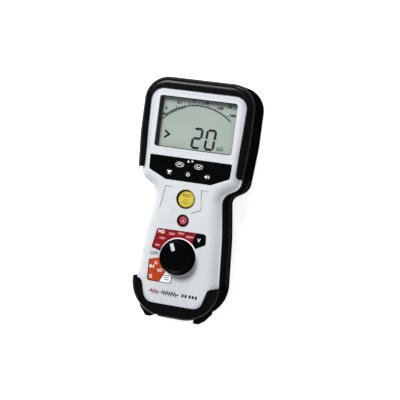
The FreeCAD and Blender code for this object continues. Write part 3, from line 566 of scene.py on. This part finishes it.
# ----------------------------------------------------------------- dial
def make_dial():
    """The dial's zones, its ring and its generic units and numbers."""
    x, y = middle("range_knob").x, middle("range_knob").y
    z = high("range_label").z
    red = softened([(-22.9, -29.5, 1.8), (15.0, -28.95, 0.2), (11.9, -37.2, 0), (8, -42, 0),
                    (-8, -50.5, 0), (-25.9, -46.9, 0.8)])
    plates("red_zone", [red], z, "red_ink", "case")
    orange = softened([(-27.2, -58.75, 0.8), (-14, -55.2, 0), (-10.0, -69.0, 0), (-14.9, -78.7, 0),
                       (-26.9, -78.7, 2.1)])
    white = softened([(-10.0, -69.0, 0), (-3.7, -66, 0), (-3.7, -71, 0), (-4.4, -78.7, 1.6),
                      (-14.9, -78.7, 0)])
    plates("orange_zone", [orange], z, "orange_ink", "case")
    plates("white_zone", [white], z, "white_ink", "case")
    disc_ring("dial_ring", x, y, 12.0, 18.2, z + THICK, "white_ink", "case")
    top = z + THICK
    words("dial_unit", [("MΩ", -19.2, -31.9, 3.1, 0)], top, "white_ink", "case")
    words("dial_volts", [("50V", -21.3, -45.0, 2.15, 0), ("100V", -17.6, -37.9, 2.15, 0),
                         ("250V", -8.8, -32.6, 2.15, 0), ("500V", 0.1, -31.0, 2.15, 0),
                         ("1000V", 8.6, -33.2, 2.15, 0)], top, "soft_ink", "case")
    words("volt_word", [("V", 18.0, -34.9, 3.7, 0)], top, "white_ink", "case")
    words("off_word", [("OFF", -23.4, -53.2, 3.3, 0)], high("keypad_panel").z + CLEAR, "dark_ink",
          "case")
    words("ohm_words", [("Ω", -20.6, -62.0, 2.8, 0), ("kΩ", -15.9, -68.4, 2.9, 0),
                        ("Ω", -24.1, -75.2, 3.0, 0)], top, "white_ink", "case")
    plates("diode_mark", [[(-26.2, -67.4), (-26.2, -63.8), (-22.9, -65.6)],
                          box_outline(-22.8, -22.2, -67.3, -63.9),
                          box_outline(-27.2, -21.2, -65.75, -65.45)], top, "white_ink", "case")
    bars = [box_outline(-11.4 + k * 0.5, -6.0, -72.6 - k * 1.9, -71.9 - k * 1.9) for k in (0, 1, 2)]
    plates("setup_bars", bars, top, "dark_ink", "case")


def make_strip():
    """A generic zigzag motif on the base, in place of any name."""
    z = high("keypad_panel").z + CLEAR
    y, reach = -88.7, 1.7
    first = [(-24.2, y), (-22.6, y)]
    for k in range(3):
        first += [(-21.8 + k * 2.4, y + reach), (-20.6 + k * 2.4, y - reach)]
    first += [(-14.6, y), (-13.4, y)]
    strokes("strip_red", [first], 0.95, z, "red_ink", "case")
    second = [(-12.6, y), (-11.2, y)]
    for k in range(6):
        second += [(-10.4 + k * 2.4, y + reach), (-9.2 + k * 2.4, y - reach)]
    second += [(4.0, y), (5.6, y)]
    strokes("strip_dark", [second], 0.95, z, "dark_ink", "case")
    plates("strip_blocks", [box_outline(x, x + 2.0, y - 1.5, y + 1.5)
                            for x in (8.4, 11.4, 15.4, 18.4, 21.4)], z, "dark_ink", "case")


# ----------------------------------------------------------------- stage
def make_floor():
    """A plain pale floor, lit a little from within so that it stays white in shadow."""
    mesh = bmesh.new()
    half, level = 15.0, -0.0002
    corners = [mesh.verts.new((x * half, y * half, level)) for x, y in
               ((-1, -1), (1, -1), (1, 1), (-1, 1))]
    mesh.faces.new(corners)
    data = bpy.data.meshes.new("floor")
    mesh.to_mesh(data)
    mesh.free()
    floor = bpy.data.objects.new("floor", data)
    bpy.context.scene.collection.objects.link(floor)
    paint = moulded("floor_paint", (0.90, 0.90, 0.90), 0.85, grain=400, depth=0.02, mottle=0.004,
                    specular=0.0)
    shader = next(node for node in paint.node_tree.nodes if node.type == "BSDF_PRINCIPLED")
    shader.inputs["Emission Color"].default_value = (1, 1, 1, 1)
    shader.inputs["Emission Strength"].default_value = 0.75
    data.materials.append(paint)


def area_light(name, place, target, size, power, colour=(1, 1, 1)):
    """A soft square light that faces a point."""
    light = bpy.data.lights.new(name, "AREA")
    light.size = size
    light.energy = power
    light.color = colour
    thing = bpy.data.objects.new(name, light)
    bpy.context.scene.collection.objects.link(thing)
    thing.location = place
    thing.rotation_euler = (Vector(target) - Vector(place)).to_track_quat("-Z", "Y").to_euler()


def make_lights():
    """A low even sky, a key light from the upper left, and three softer lights."""
    world = bpy.data.worlds.new("studio")
    world.use_nodes = True
    world.node_tree.nodes["Background"].inputs["Color"].default_value = (0.98, 0.99, 1.0, 1)
    world.node_tree.nodes["Background"].inputs["Strength"].default_value = 0.31
    bpy.context.scene.world = world
    middle_of_part = (0, 0, 0.03)
    area_light("key", (-0.50, 0.76, 1.24), middle_of_part, 0.5, 26.5)
    area_light("fill", (0.85, -0.65, 1.2), middle_of_part, 0.9, 1.5)
    area_light("back", (0.1, 1.3, 0.35), (0, 0.1, 0.05), 0.35, 6.0)
    area_light("left", (-1.3, -0.2, 0.4), middle_of_part, 0.6, 1.0)


def make_camera():
    """The camera: above the tester, a little to its right, turned so that the tester leans."""
    data = bpy.data.cameras.new("camera")
    data.sensor_width = 36.0
    data.lens = 99.0
    data.clip_start = 0.01
    data.clip_end = 20.0
    camera = bpy.data.objects.new("camera", data)
    bpy.context.scene.collection.objects.link(camera)
    tilt, lean, roll = 0.05084, -0.25668, -0.1327
    turn = (Matrix.Rotation(-lean, 4, "Y") @ Matrix.Rotation(-tilt, 4, "X")
            @ Matrix.Rotation(-roll, 4, "Z"))
    camera.matrix_world = Matrix.Translation((0.2741, 0.0550, 1.0444)) @ turn
    bpy.context.scene.camera = camera


finish_nodes()
make_display()
make_bezel_step_painted_shade()
make_key_marks()
make_button_marks()
make_dial()
make_strip()
make_floor()
make_lights()
make_camera()
bpy.context.scene.view_settings.view_transform = "Standard"
